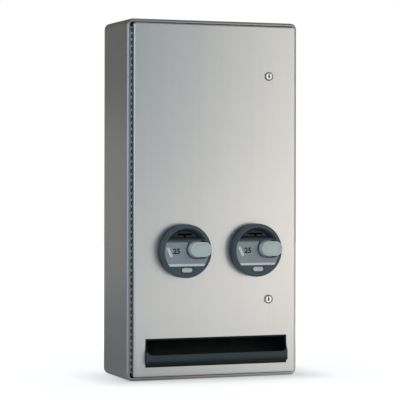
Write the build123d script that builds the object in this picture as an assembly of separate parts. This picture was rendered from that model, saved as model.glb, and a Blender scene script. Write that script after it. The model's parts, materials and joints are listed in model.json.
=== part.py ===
from build123d import *
import os
from math import radians, sqrt, tan

# Wall-mounted vending machine with two coin dials, in millimetres.
# X is to the right, +Y goes into the wall, +Z is up; the machine faces -Y.
# The origin is the middle of the four wall bolts, on the back face.

# Cabinet
cabinet_width = 366.0
cabinet_height = 720.0
cabinet_depth = 148.0
cabinet_sheet = 1.2
cabinet_corner_radius = 12.7
rim_width = 6.1
rim_bend_radius = 4.0
rim_return_depth = 14.0
seam_inset = 2.0
weld_gap = 0.2
overrun = 5.0

# Back panel and wall bolts
back_flange_depth = 16.0
bolt_side_inset = 17.9
bolt_end_inset = 42.5
bolt_hole_radius = 3.6

# Door
door_gap = 2.2
door_proud = 12.5
door_sheet = 1.2
door_bend_radius = 3.0
door_corner_radius = 4.0
door_return_depth = 26.0

# Hinge
knuckle_pitch = 12.7
knuckle_end_gap = 0.5
hinge_end_room = 5.0
hinge_gap = 4.2
barrel_radius = 1.8
hinge_pin_radius = 0.95
hinge_pin_clearance = 0.05
hinge_forward = 3.0
leaf_sheet = 1.0
leaf_clearance = 0.35
leaf_margin = 2.0

# Locks
lock_beside_dial = 32.2
lower_lock_drop = 100.6
upper_lock_inset = 110.3
lock_flange_radius = 8.9
lock_flange_thickness = 2.0
lock_flange_chamfer = 0.8
lock_barrel_radius = 7.7
lock_hole_clearance = 0.2
lock_plug_radius = 6.4
lock_plug_clearance = 0.05
lock_plug_recess = 0.4
lock_tail_radius = 4.0
lock_tail_length = 3.6
key_slot_width = 2.2
key_slot_height = 9.6
key_slot_depth = 12.0
key_round_radius = 2.2
key_slot_rise = 0.9
lock_nut_radius = 11.0
lock_nut_thickness = 4.0
cam_reach = 29.0
cam_width = 14.0
cam_sheet = 2.0
cam_clearance = 1.0
strike_sheet = 1.6
strike_height = 44.0
strike_leg = 25.0
strike_clearance = 4.0
strike_side_room = 15.3

# Dispensing slot and tray
slot_left_inset = 24.3
slot_right_inset = 19.1
slot_low_inset = 19.1
slot_height = 56.8
slot_corner_radius = 1.0
tray_fit = 0.8
tray_wall = 2.5
tray_floor = 2.2
tray_flange = 9.0
tray_lip_proud = 10.0
tray_lip_drop = 31.6
tray_lip_height = 18.5
tray_cheek_rise = 7.5
tray_foot_proud = 1.6
tray_lip_wall = 3.0
tray_lip_round = 1.4
tray_lip_foot_round = 3.0
tray_corner_radius = 9.0
tray_rear_margin = 2.5
tray_stud_radius = 2.0
tray_stud_length = 8.0
tray_stud_spread = 75.0
tray_stud_drop = 16.0
tray_nut_radius = 4.2
tray_nut_thickness = 3.2

# Coin dials
dial_radius = 53.6
dial_rise = 257.8
dial_left_share = 0.3797
dial_right_share = 0.28046
dial_proud = 22.0
dial_round = 4.5
dial_wall = 5.0
dial_spigot_wall = 3.0
dial_spigot_end_wall = 1.3
dial_spigot_depth = 10.0
dial_hole_clearance = 0.6
scoop_inset = 7.6
scoop_depth = 14.0
scoop_draft = 25.0
scoop_backing = 3.0
scoop_foot_wall = 0.9
coin_slot_width = 30.4
coin_slot_height = 3.4
coin_slot_above = 11.6
coin_stem_width = 4.8
coin_stem_height = 6.0
label_inset = 6.7
label_below_knob_top = 0.3
label_above_button = 0.8
label_recess = 0.8
label_thickness = 0.7
label_gap = 0.3
label_margin = 1.6

# Vend knob
knob_left = 2.5
knob_end_inset = 6.6
knob_height = 29.8
knob_rise = 3.6
knob_proud = 17.0
knob_wall = 2.4
knob_edge_round = 2.2
knob_dish_depth = 1.8
knob_dish_draft = 50.0
knob_dish_inset = 3.4
knob_flange_extra = 1.8
knob_flange_reach = 31.0
knob_flange_thickness = 2.0
pocket_gap = 2.3
stem_half_width = 4.0
stem_nose_radius = 2.0
stem_nose_length = 22.0
stem_clearance = 0.35
spring_gap = 0.4
knob_spring_wire = 1.2

# Coin return button
button_edge_inset = 16.0
button_width = 21.8
button_height = 9.2
button_proud = 2.5
button_clearance = 0.4
button_length = 29.0
button_edge_round = 1.5
button_flange = 1.4
button_flange_thickness = 1.6
button_sink_width = 2.0
button_sink_depth = 1.2
return_spring_radius = 3.2
return_spring_wall = 0.9

# Coin mechanism case behind the door
case_spigot_gap = 0.9
case_extra_height = 1.0
case_depth = 37.6
case_wall = 2.5
boss_wall_room = 2.1
boss_radius = 3.5
screw_radius = 1.5
screw_head_radius = 3.2
screw_head_height = 2.2
screw_clearance = 0.2
face_gap = 0.2

# Coin duct and coin box
duct_half_width = 16.2
duct_wall = 1.2
duct_front_gap = 2.0
duct_depth = 12.0
duct_above_slot = 5.0
funnel_below_slot = 6.0
duct_exit = 4.0
coin_box_left = 40.0
coin_box_lock_room = 1.6
coin_box_tray_room = 10.6
coin_box_drop = 12.0
coin_box_depth = 33.0
coin_box_wall = 1.5
cradle_sheet = 1.2
cradle_gap = 0.4
cradle_side_height = 35.0
cradle_ledge_lip = 8.0

# Product magazines
magazine_half_width = 54.0
magazine_top_room = 30.0
magazine_sheet = 1.2
magazine_lip = 15.0
guide_slot_width = 6.4
guide_slot_above_gate = 52.0
guide_slot_top_room = 10.0
rail_height = 30.0
rail_depth = 9.2
rail_end_room = 23.8
rail_sheet = 1.2
upper_rail_inset = 95.0
lower_rail_rise = 50.0
cabinet_screw_radius = 2.5
cabinet_screw_head_radius = 4.6
cabinet_screw_head_height = 2.4
cabinet_screw_length = 7.0
cabinet_screw_inset = 30.0

# Follower weights
follower_gap = 3.0
follower_thickness = 16.0
follower_bar_radius = 2.6
follower_bar_overhang = 4.0
follower_edge_round = 3.0

# Vend gates
gate_head_room = 1.8
gate_ear_drop = 12.0
gate_pin_radius = 2.5
gate_pin_clearance = 0.05
gate_pin_overhang = 3.0
gate_pin_cover = 3.0
gate_sleeve_radius = 4.2
gate_plate_sheet = 2.0
gate_plate_margin = 12.0
gate_side_gap = 3.0
gate_arm_setback = 1.1
gate_arm_offset = 3.2
gate_arm_length = 29.4
gate_arm_above = 6.6
gate_arm_half_width = 10.0
gate_arm_sheet = 2.0
gate_push_gap = 1.0
gate_spring_length = 9.0
gate_spring_wall = 1.2

# Delivery chute
chute_sheet = 1.2
chute_ledge_depth = 6.6
chute_drop = 48.0
chute_flange_height = 18.0
chute_door_gap = 4.0
chute_above_tray = 10.6
chute_foot_depth = 20.0
chute_side_height = 38.0
chute_side_room = 1.5

# Places across the machine
door_left = -cabinet_width / 2 + rim_width + hinge_gap
door_right = cabinet_width / 2 - rim_width - door_gap
door_centre_x = (door_left + door_right) / 2
door_half_width = (door_right - door_left) / 2
door_half_height = cabinet_height / 2 - rim_width - door_gap
inner_half_width = cabinet_width / 2 - cabinet_sheet
inner_half_height = cabinet_height / 2 - cabinet_sheet
bolt_x = cabinet_width / 2 - bolt_side_inset
bolt_z = cabinet_height / 2 - bolt_end_inset
knuckle_count = int(2 * (door_half_height - hinge_end_room) / knuckle_pitch)
hinge_length = knuckle_count * knuckle_pitch
hinge_x = door_left - hinge_gap / 2
spare_width = 2 * door_half_width - 4 * dial_radius
dial_places = {
    "left": door_left + dial_left_share * spare_width + dial_radius,
    "right": door_right - dial_right_share * spare_width - dial_radius,
}
dial_height = -cabinet_height / 2 + dial_rise
lock_x = dial_places["right"] + lock_beside_dial
lock_places = {
    "upper": cabinet_height / 2 - upper_lock_inset,
    "lower": dial_height - lower_lock_drop,
}
slot_left = door_left + slot_left_inset
slot_right = door_right - slot_right_inset
slot_width = slot_right - slot_left
slot_centre_x = (slot_left + slot_right) / 2
slot_bottom = -door_half_height + slot_low_inset
slot_centre_z = slot_bottom + slot_height / 2
slot_top = slot_bottom + slot_height

# Places on a dial, from its centre
knob_width = dial_radius - knob_end_inset - knob_left
knob_centre_x = knob_left + knob_width / 2
pocket_radius = knob_height / 2 + pocket_gap
pocket_left = knob_left - pocket_gap
flange_top = knob_rise + pocket_radius + knob_flange_extra + spring_gap
scoop_radius = dial_radius - scoop_inset
scoop_chord = flange_top + scoop_foot_wall - dial_wall * tan(radians(scoop_draft))
coin_slot_rise = scoop_chord + coin_slot_above
button_rise = button_edge_inset - dial_radius
label_radius = dial_radius - label_inset
label_top = knob_rise + knob_height / 2 - label_below_knob_top
label_bottom = button_rise + button_height / 2 + button_sink_width + label_above_button
dial_spigot_radius = knob_left + knob_width + pocket_gap + dial_spigot_end_wall
case_half_width = dial_spigot_radius + case_spigot_gap + case_wall
case_half_height = case_half_width + case_extra_height
boss_offset = (dial_spigot_radius - dial_spigot_wall - boss_radius - boss_wall_room) / sqrt(2)
duct_top = coin_slot_rise + duct_above_slot
funnel_bottom = coin_slot_rise - funnel_below_slot
coin_box_right = lock_beside_dial - lock_nut_radius - coin_box_lock_room - cradle_sheet - cradle_gap

# Depths from the wall to the front
front_y = -(cabinet_depth + door_proud)
door_inner_y = front_y + door_sheet
door_back_y = front_y + door_return_depth
hinge_y = -cabinet_depth - hinge_forward
strike_front_y = -cabinet_depth + rim_return_depth + strike_clearance
cam_front_y = strike_front_y + strike_sheet + cam_clearance
face_y = front_y - dial_proud
case_front_y = door_inner_y + face_gap
case_back_y = case_front_y + case_depth
case_inner_y = case_back_y - case_wall
spigot_back_y = front_y + dial_spigot_depth
duct_front_y = spigot_back_y + duct_front_gap
knob_front_y = face_y - knob_proud
knob_rear_y = face_y + dial_wall + face_gap
gate_ear_front = case_back_y + face_gap + screw_head_height + gate_head_room
gate_arm_front = gate_ear_front + gate_arm_setback
gate_pin_y = gate_arm_front + gate_arm_offset
stem_end_y = gate_arm_front - gate_push_gap
magazine_front = gate_pin_y + gate_pin_cover
rail_back = -cabinet_sheet - face_gap
rail_front = rail_back - rail_depth
magazine_back = rail_front - face_gap
guide_slot_y = (magazine_front + magazine_back) / 2
chute_top_y = rail_back - chute_ledge_depth
chute_front_y = door_back_y + chute_door_gap

# Heights of the columns, gates and chute
knob_centre_z = dial_height + knob_rise
gate_pin_z = knob_centre_z - gate_arm_length
gate_arm_top = knob_centre_z + gate_arm_above
magazine_bottom = gate_pin_z - gate_ear_drop
magazine_top = cabinet_height / 2 - magazine_top_room
guide_slot_bottom = gate_pin_z + guide_slot_above_gate
guide_slot_top = magazine_top - guide_slot_top_room
upper_rail_z = cabinet_height / 2 - upper_rail_inset
lower_rail_z = magazine_bottom + lower_rail_rise
chute_top_z = magazine_bottom - chute_drop
chute_front_z = slot_bottom + chute_above_tray


def facing_front(y, x=0, z=0):
    """A plane that faces the front, with its origin at (x, y, z) and its height along +Z."""
    return Plane(origin=(x, y, z), x_dir=(1, 0, 0), z_dir=(0, -1, 0))


def facing_right(x, y=0, z=0):
    """A plane that faces +X, whose first direction is +Y and whose second is +Z."""
    return Plane(origin=(x, y, z), x_dir=(0, 1, 0), z_dir=(1, 0, 0))


def forward(sketch, y_back, y_front, x=0, z=0):
    """Carry a sketch from y_back towards the front, up to y_front."""
    return extrude(facing_front(y_back, x, z) * sketch, amount=y_back - y_front)


def rightward(sketch, x_left, x_right, y=0, z=0):
    """Carry a sketch in the YZ plane from x_left to x_right."""
    return extrude(facing_right(x_left, y, z) * sketch, amount=x_right - x_left)


def upward(sketch, z_low, z_high, x=0, y=0):
    """Carry a sketch in the XY plane from z_low to z_high."""
    return extrude(Plane(origin=(x, y, z_low)) * sketch, amount=z_high - z_low)


def block(xs, ys, zs):
    """A box between two corners, each span given in either order."""
    sizes = [abs(span[1] - span[0]) for span in (xs, ys, zs)]
    middle = [(span[0] + span[1]) / 2 for span in (xs, ys, zs)]
    return Pos(*middle) * Box(*sizes)


def front_face_edges(solid):
    """The edges round the solid's foremost face."""
    return solid.faces().sort_by(Axis.Y)[0].edges()


def stadium(width, height):
    """A flat oval with straight long sides."""
    return SlotOverall(width, height)


# Cabinet pieces

def cabinet_shell():
    """The four walls of sheet, with a narrow front rim folded back into the opening."""
    sheet = cabinet_sheet
    outline = RectangleRounded(cabinet_width, cabinet_height, cabinet_corner_radius)
    body = fillet(front_face_edges(forward(outline, 0, -cabinet_depth)), rim_bend_radius)
    inner_radius = cabinet_corner_radius - sheet
    hollow_shape = RectangleRounded(2 * inner_half_width, 2 * inner_half_height, inner_radius)
    hollow = forward(hollow_shape, overrun, sheet - cabinet_depth)
    hollow = fillet(front_face_edges(hollow), rim_bend_radius - sheet)
    opening_width = cabinet_width - 2 * rim_width
    opening_height = cabinet_height - 2 * rim_width
    opening_radius = door_corner_radius + door_gap
    opening_shape = RectangleRounded(opening_width, opening_height, opening_radius)
    fold_size = (opening_width + 2 * sheet, opening_height + 2 * sheet)
    fold_shape = RectangleRounded(*fold_size, opening_radius + sheet)
    fold = forward(fold_shape, rim_return_depth - cabinet_depth, -cabinet_depth)
    opening = forward(opening_shape, overrun, -cabinet_depth - overrun)
    return body - hollow + fold - opening


def cabinet_walls():
    """The shell's four welded pieces, parted just below and above the rounded corners."""
    shell = cabinet_shell()
    seam_z = cabinet_height / 2 - cabinet_corner_radius - seam_inset
    across = (-cabinet_width, cabinet_width)
    depths = (overrun, -cabinet_depth - overrun)
    low = -seam_z + weld_gap / 2
    high = seam_z - weld_gap / 2
    regions = {
        "top": (across, (high + weld_gap, cabinet_height)),
        "bottom": (across, (-cabinet_height, low - weld_gap)),
        "side_left": ((-cabinet_width, 0), (low, high)),
        "side_right": ((0, cabinet_width), (low, high)),
    }
    return {name: shell & block(xs, depths, zs) for name, (xs, zs) in regions.items()}


def back_panel():
    """Pan of sheet that closes the back, with four wall bolt holes."""
    half_width = inner_half_width - weld_gap
    half_height = inner_half_height - weld_gap
    radius = cabinet_corner_radius - cabinet_sheet - weld_gap
    sheet = cabinet_sheet
    panel = forward(RectangleRounded(2 * half_width, 2 * half_height, radius), 0, -back_flange_depth)
    hollow = RectangleRounded(2 * (half_width - sheet), 2 * (half_height - sheet), radius - sheet)
    panel -= forward(hollow, -sheet, -back_flange_depth - overrun)
    for x in (-bolt_x, bolt_x):
        for z in (-bolt_z, bolt_z):
            panel -= forward(Circle(bolt_hole_radius), overrun, -overrun, x, z)
    return panel


def hinge_leaf(side, first_knuckle):
    """One leaf of the full-length hinge; side is -1 for the cabinet and 1 for the door."""
    outer_x = hinge_x + side * hinge_gap / 2
    inner_x = outer_x - side * leaf_sheet
    strip_front = hinge_y + barrel_radius + leaf_clearance
    strip_back = rim_return_depth - cabinet_depth - leaf_margin
    half_length = hinge_length / 2
    pieces = []
    for number in range(first_knuckle, knuckle_count, 2):
        low = number * knuckle_pitch - half_length + knuckle_end_gap / 2
        high = low + knuckle_pitch - knuckle_end_gap
        pieces.append(upward(Circle(barrel_radius), low, high, hinge_x, hinge_y))
        pieces.append(block((inner_x, outer_x), (hinge_y, strip_front), (low, high)))
    leaf = block((inner_x, outer_x), (strip_front, strip_back), (-half_length, half_length)) + pieces
    bore_end = half_length + overrun
    bore = upward(Circle(hinge_pin_radius + hinge_pin_clearance), -bore_end, bore_end, hinge_x, hinge_y)
    return leaf - bore


def hinge_pin():
    """The rod through all the knuckles."""
    return upward(Circle(hinge_pin_radius), -hinge_length / 2, hinge_length / 2, hinge_x, hinge_y)


def strike(z):
    """Angle on the right wall that a lock's cam turns behind."""
    wall_x = inner_half_width - weld_gap
    end_x = lock_x + lock_barrel_radius + strike_side_room
    zs = (z - strike_height / 2, z + strike_height / 2)
    plate = block((end_x, wall_x), (strike_front_y, strike_front_y + strike_sheet), zs)
    return plate + block((wall_x - strike_sheet, wall_x), (strike_front_y, strike_front_y + strike_leg), zs)


def rail(z):
    """Channel across the back panel that the magazines are screwed to."""
    half_length = inner_half_width - rail_end_room
    zs = (z - rail_height / 2, z + rail_height / 2)
    channel = block((-half_length, half_length), (rail_front, rail_back), zs)
    channel -= block(
        (-half_length - overrun, half_length + overrun),
        (rail_front + rail_sheet, rail_back + overrun),
        (zs[0] + rail_sheet, zs[1] - rail_sheet),
    )
    hole = Circle(cabinet_screw_radius + screw_clearance)
    for x, screw_z in cabinet_screw_places():
        if screw_z == z:
            channel -= forward(hole, rail_back, rail_front - overrun, x, z)
    return channel


def cabinet_screw_places():
    """Two screws on each rail for each magazine."""
    places = []
    for middle in dial_places.values():
        for x in (middle - cabinet_screw_inset, middle + cabinet_screw_inset):
            for z in (upper_rail_z, lower_rail_z):
                places.append((x, z))
    return places


def cabinet_screws():
    """Pan-head screws that hold the magazines to the rails."""
    head_back = magazine_back - magazine_sheet - face_gap
    screws = []
    head_front = head_back - cabinet_screw_head_height
    for x, z in cabinet_screw_places():
        head = forward(Circle(cabinet_screw_head_radius), head_back, head_front, x, z)
        head = fillet(front_face_edges(head), cabinet_screw_head_height / 2)
        shank = forward(Circle(cabinet_screw_radius), head_back + cabinet_screw_length, head_back, x, z)
        screws.append(head + shank)
    return Compound(screws)


def magazine(middle):
    """Open-fronted column that holds the stack of products, slotted for its follower weight."""
    sheet = magazine_sheet
    half = magazine_half_width
    zs = (magazine_bottom, magazine_top)
    column = block((middle - half, middle + half), (magazine_front, magazine_back), zs)
    through = (magazine_bottom - overrun, magazine_top + overrun)
    inner_ys = (magazine_front + sheet, magazine_back - sheet)
    column -= block((middle - half + sheet, middle + half - sheet), inner_ys, through)
    column -= block(
        (middle - half + magazine_lip, middle + half - magazine_lip),
        (magazine_front - overrun, magazine_front + 2 * sheet),
        through,
    )
    ear_top = gate_pin_z + (gate_pin_z - magazine_bottom)
    for side in (-1, 1):
        outer = middle + side * half
        lip_end = outer - side * magazine_lip
        column -= block(
            (outer - side * sheet, lip_end - side * overrun),
            (magazine_front - overrun, magazine_front + 2 * sheet),
            (magazine_bottom - overrun, ear_top),
        )
        ear_ys = (gate_ear_front, magazine_front)
        column += block((outer, outer - side * sheet), ear_ys, (magazine_bottom, ear_top))
    slot_ys = (guide_slot_y - guide_slot_width / 2, guide_slot_y + guide_slot_width / 2)
    across = (middle - half - overrun, middle + half + overrun)
    column -= block(across, slot_ys, (guide_slot_bottom, guide_slot_top))
    column -= rightward(Circle(gate_pin_radius + gate_pin_clearance), *across, gate_pin_y, gate_pin_z)
    hole = Circle(cabinet_screw_radius + screw_clearance)
    for x, z in cabinet_screw_places():
        if abs(x - middle) < half:
            column -= forward(hole, magazine_back + overrun, magazine_back - overrun, x, z)
    return column


def follower_weight(middle):
    """Weight that presses the stack down, with a bar that rides in the column's slots."""
    half = magazine_half_width - magazine_sheet - follower_gap
    bar_half = magazine_half_width + follower_bar_overhang
    bar_z = guide_slot_bottom + follower_bar_radius + spring_gap
    front = magazine_front + magazine_sheet + follower_gap
    back = magazine_back - magazine_sheet - cabinet_screw_head_height - follower_gap
    weight = upward(
        Rectangle(2 * half, back - front),
        bar_z - follower_thickness / 2,
        bar_z + follower_thickness / 2,
        middle,
        (front + back) / 2,
    )
    weight = fillet(weight.edges().filter_by(Axis.Z), follower_edge_round)
    return weight + rightward(
        Circle(follower_bar_radius), middle - bar_half, middle + bar_half, guide_slot_y, bar_z
    )


def gate(middle):
    """Swinging floor of a magazine, with the arm that the vend knob's stem pushes."""
    half = magazine_half_width - magazine_sheet - gate_side_gap
    sleeve_half = half - gate_spring_length
    back = magazine_back - magazine_sheet - gate_plate_margin
    wide_from = gate_pin_y + gate_sleeve_radius + spring_gap
    plate_zs = (gate_pin_z, gate_pin_z - gate_plate_sheet)
    plate = block((middle - half, middle + half), (wide_from, back), plate_zs)
    plate += block((middle - sleeve_half, middle + sleeve_half), (gate_pin_y, wide_from), plate_zs)
    arm_x = middle + knob_centre_x
    arm = block(
        (arm_x - gate_arm_half_width, arm_x + gate_arm_half_width),
        (gate_arm_front, gate_arm_front + gate_arm_sheet),
        (gate_pin_z, gate_arm_top),
    )
    sleeve_ends = (middle - sleeve_half, middle + sleeve_half)
    sleeve = rightward(Circle(gate_sleeve_radius), *sleeve_ends, gate_pin_y, gate_pin_z)
    bore = rightward(
        Circle(gate_pin_radius + gate_pin_clearance),
        middle - half - overrun,
        middle + half + overrun,
        gate_pin_y,
        gate_pin_z,
    )
    return plate + arm + sleeve - bore


def gate_pin(middle):
    """Pin across the column's two ears."""
    half = magazine_half_width + gate_pin_overhang
    return rightward(Circle(gate_pin_radius), middle - half, middle + half, gate_pin_y, gate_pin_z)


def gate_spring(middle):
    """Space of the torsion spring between the gate's sleeve and the column's left wall."""
    start = middle - magazine_half_width + magazine_sheet + spring_gap
    end = start + gate_side_gap + gate_spring_length - 2 * spring_gap
    inner = gate_pin_radius + gate_pin_clearance
    return rightward(Circle(inner + gate_spring_wall) - Circle(inner), start, end, gate_pin_y, gate_pin_z)


def delivery_chute():
    """Sloping sheet that leads the products from both columns to the tray."""
    run = chute_front_y - chute_top_y
    fall = chute_front_z - chute_top_z
    length = sqrt(run * run + fall * fall)
    drop = chute_sheet * abs(run) / length
    back = rail_back
    floor_z = -inner_half_height + weld_gap
    left = slot_left - chute_side_room
    right = slot_right + chute_side_room
    slope = make_face(
        Polyline(
            (back, chute_top_z + chute_flange_height),
            (back - chute_sheet, chute_top_z + chute_flange_height),
            (back - chute_sheet, chute_top_z),
            (chute_top_y, chute_top_z),
            (chute_front_y, chute_front_z),
            (chute_front_y, floor_z),
            (chute_front_y + chute_foot_depth, floor_z),
            (chute_front_y + chute_foot_depth, floor_z + chute_sheet),
            (chute_front_y + chute_sheet, floor_z + chute_sheet),
            (chute_front_y + chute_sheet, chute_front_z - drop),
            (chute_top_y, chute_top_z - chute_sheet),
            (back, chute_top_z - chute_sheet),
            close=True,
        )
    )
    side_shape = make_face(
        Polyline(
            (chute_top_y, chute_top_z),
            (chute_front_y, chute_front_z),
            (chute_front_y, chute_front_z + chute_side_height),
            (chute_top_y, chute_top_z + chute_side_height / 2),
            close=True,
        )
    )
    chute = rightward(slope, left, right)
    for x in (left, right - chute_sheet):
        chute += rightward(side_shape, x, x + chute_sheet)
    return chute


# Door pieces

def door_panel():
    """Pan of sheet that stands proud of the rim, cut for the dials, locks and dispensing slot."""
    sheet = door_sheet
    outline = RectangleRounded(2 * door_half_width, 2 * door_half_height, door_corner_radius)
    pan = forward(outline, door_back_y, front_y, door_centre_x)
    panel = fillet(front_face_edges(pan), door_bend_radius)
    inner_outline = RectangleRounded(
        2 * (door_half_width - sheet), 2 * (door_half_height - sheet), door_corner_radius - sheet
    )
    hollow = forward(inner_outline, door_back_y + overrun, door_inner_y, door_centre_x)
    panel -= fillet(front_face_edges(hollow), door_bend_radius - sheet)
    cut_back = door_inner_y + overrun
    cut_front = front_y - overrun
    dial_hole = Circle(dial_spigot_radius + dial_hole_clearance)
    for x in dial_places.values():
        panel -= forward(dial_hole, cut_back, cut_front, x, dial_height)
    lock_hole = Circle(lock_barrel_radius + lock_hole_clearance)
    for z in lock_places.values():
        panel -= forward(lock_hole, cut_back, cut_front, lock_x, z)
    slot = RectangleRounded(slot_width, slot_height, slot_corner_radius)
    panel -= forward(slot, cut_back, cut_front, slot_centre_x, slot_centre_z)
    stud_back = door_inner_y + tray_stud_length
    return panel + [
        forward(Circle(tray_stud_radius), stud_back, door_inner_y, x, z) for x, z in tray_stud_places()
    ]


def tray_stud_places():
    """Places round the slot where studs on the door hold the tray's flange."""
    side = slot_width / 2 + tray_flange / 2
    rise = slot_height / 2 + tray_flange / 2
    offsets = [(x, z) for x in (-side, side) for z in (-tray_stud_drop, tray_stud_drop)]
    offsets += [(x, z) for x in (-tray_stud_spread, tray_stud_spread) for z in (-rise, rise)]
    return [(slot_centre_x + x, slot_centre_z + z) for x, z in offsets]


def tray_nuts():
    """Nuts on the studs behind the tray's flange."""
    front = door_inner_y + face_gap + tray_wall
    ring = RegularPolygon(tray_nut_radius, 6) - Circle(tray_stud_radius + lock_plug_clearance)
    back = front + tray_nut_thickness
    return Compound([forward(ring, back, front, x, z) for x, z in tray_stud_places()])


def dispensing_tray():
    """Moulded scoop through the slot: cheeks, floor, ceiling and a lip that stands proud."""
    top = slot_top - tray_fit
    bottom = slot_bottom + tray_fit
    rear = door_back_y - tray_rear_margin
    lip_y = front_y - tray_lip_proud
    lip_top = top - tray_lip_drop
    lip_bottom = lip_top - tray_lip_height
    foot_y = front_y - tray_foot_proud
    half = slot_width / 2 - tray_fit
    left = slot_left + tray_fit
    right = slot_right - tray_fit
    hollow_y = (front_y + lip_y) / 2
    outline = make_face(
        Line((rear, top), (front_y, top))
        + ThreePointArc((front_y, top), (hollow_y, lip_top + tray_cheek_rise), (lip_y, lip_top))
        + Polyline(
            (lip_y, lip_top),
            (lip_y, lip_bottom),
            (foot_y, lip_bottom),
            (foot_y, bottom),
            (rear, bottom),
            (rear, top),
        )
    )
    tray = rightward(outline, left, right)
    tray = fillet(front_face_edges(tray).sort_by(Axis.Z)[0], tray_lip_foot_round)
    lip_ends = tray.edges().group_by(Axis.Y)[0].filter_by(Axis.Z)
    tray = fillet(lip_ends, tray_lip_round)
    flange_front = door_inner_y + face_gap
    flange = Rectangle(slot_width + 2 * tray_flange, slot_height + 2 * tray_flange)
    tray += forward(flange, flange_front + tray_wall, flange_front, slot_centre_x, slot_centre_z)
    mouth_height = 2 * (top - lip_top)
    mouth = RectangleRounded(2 * (half - tray_wall), mouth_height, tray_corner_radius)
    tray -= forward(mouth, door_inner_y, lip_y - overrun, slot_centre_x, lip_top + mouth_height / 2)
    behind_lip = lip_y + tray_lip_wall
    trough_section = make_face(
        Polyline(
            (rear + overrun, bottom + tray_floor),
            (foot_y + tray_wall, bottom + tray_floor),
            (foot_y + tray_wall, lip_bottom + tray_floor),
            (behind_lip, lip_bottom + tray_floor),
            (behind_lip, top - tray_wall),
            (rear + overrun, top - tray_wall),
            close=True,
        )
    )
    trough = rightward(trough_section, left + tray_wall, right - tray_wall)
    trough_corners = trough.edges().filter_by(Axis.Z).group_by(Axis.Y)[0]
    tray -= fillet(trough_corners, tray_lip_wall)
    stud_hole = Circle(tray_stud_radius + screw_clearance)
    for x, z in tray_stud_places():
        tray -= forward(stud_hole, flange_front + overrun, flange_front, x, z)
    return tray


def pocket_sketch(extra=0):
    """Flat oval outline of the knob's pocket, about the dial's centre."""
    reach = 2 * (pocket_gap + extra)
    return Pos(knob_centre_x, knob_rise) * stadium(knob_width + reach, knob_height + reach)


def label_sketch(inset):
    """Outline of the label's place: a disc cut by two level lines and by the knob's pocket."""
    radius = label_radius - inset
    band_height = label_top - label_bottom - 2 * inset
    band = Pos(0, (label_top + label_bottom) / 2) * Rectangle(2 * radius, band_height)
    shape = Circle(radius) & band
    shape -= pocket_sketch(label_margin + inset)
    corner_x = pocket_left + label_margin - inset
    return shape - Pos(corner_x + radius / 2, knob_rise + radius / 2) * Rectangle(radius, radius)


def dial_housing(x):
    """Moulded round front of a coin mechanism, with its scoop, coin slot, pocket and bosses."""
    z = dial_height
    housing = fillet(front_face_edges(forward(Circle(dial_radius), front_y, face_y, x, z)), dial_round)
    housing += forward(Circle(dial_spigot_radius), spigot_back_y, front_y, x, z)
    scoop_floor_y = face_y + scoop_depth
    cavity_radius = dial_spigot_radius - dial_spigot_wall
    cavity_circle = Circle(cavity_radius)
    lower_part = Pos(0, flange_top - cavity_radius) * Rectangle(2 * cavity_radius, 2 * cavity_radius)
    housing -= forward(cavity_circle, spigot_back_y + overrun, scoop_floor_y + scoop_backing, x, z)
    housing -= forward(cavity_circle & lower_part, spigot_back_y + overrun, face_y + dial_wall, x, z)
    above_chord = Pos(0, scoop_chord + scoop_radius) * Rectangle(2 * scoop_radius, 2 * scoop_radius)
    segment = Circle(scoop_radius) & above_chord
    scoop = extrude(facing_front(face_y, x, z) * segment, amount=-scoop_depth, taper=scoop_draft)
    housing -= scoop
    coin_slot = Pos(0, coin_slot_rise) * Rectangle(coin_slot_width, coin_slot_height)
    coin_stem = Rectangle(coin_stem_width, coin_stem_height)
    coin_slot += Pos(0, coin_slot_rise - coin_stem_height / 2) * coin_stem
    housing -= forward(coin_slot, spigot_back_y, face_y, x, z)
    housing -= forward(pocket_sketch(), spigot_back_y + overrun, face_y - overrun, x, z)
    housing -= forward(label_sketch(0), face_y + label_recess, face_y - overrun, x, z)
    pass_width = button_flange + button_clearance
    hole = stadium(button_width + 2 * button_clearance, button_height + 2 * button_clearance)
    sink = stadium(button_width + 2 * button_sink_width, button_height + 2 * button_sink_width)
    button_pass = stadium(button_width + 2 * pass_width, button_height + 2 * pass_width)
    housing -= forward(hole, spigot_back_y, face_y - overrun, x, z + button_rise)
    housing -= forward(button_pass, spigot_back_y + overrun, face_y + dial_wall, x, z + button_rise)
    housing -= forward(sink, face_y + button_sink_depth, face_y - overrun, x, z + button_rise)
    bosses = []
    for dx, dz in boss_places():
        root_y = scoop_floor_y if dz > 0 else face_y + dial_wall / 2
        bosses.append(forward(Circle(boss_radius), case_inner_y - face_gap, root_y, x + dx, z + dz))
    housing += bosses
    screw_hole = Circle(screw_radius + screw_clearance)
    for dx, dz in boss_places():
        housing -= forward(screw_hole, case_inner_y + overrun, front_y, x + dx, z + dz)
    return housing


def boss_places():
    """Offsets of the four screw bosses from the dial's centre."""
    return [(dx, dz) for dx in (-boss_offset, boss_offset) for dz in (-boss_offset, boss_offset)]


def face_label(x):
    """Thin plate in the dial's label recess."""
    back = face_y + label_recess
    return forward(label_sketch(label_gap), back, back - label_thickness, x, dial_height)


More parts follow.
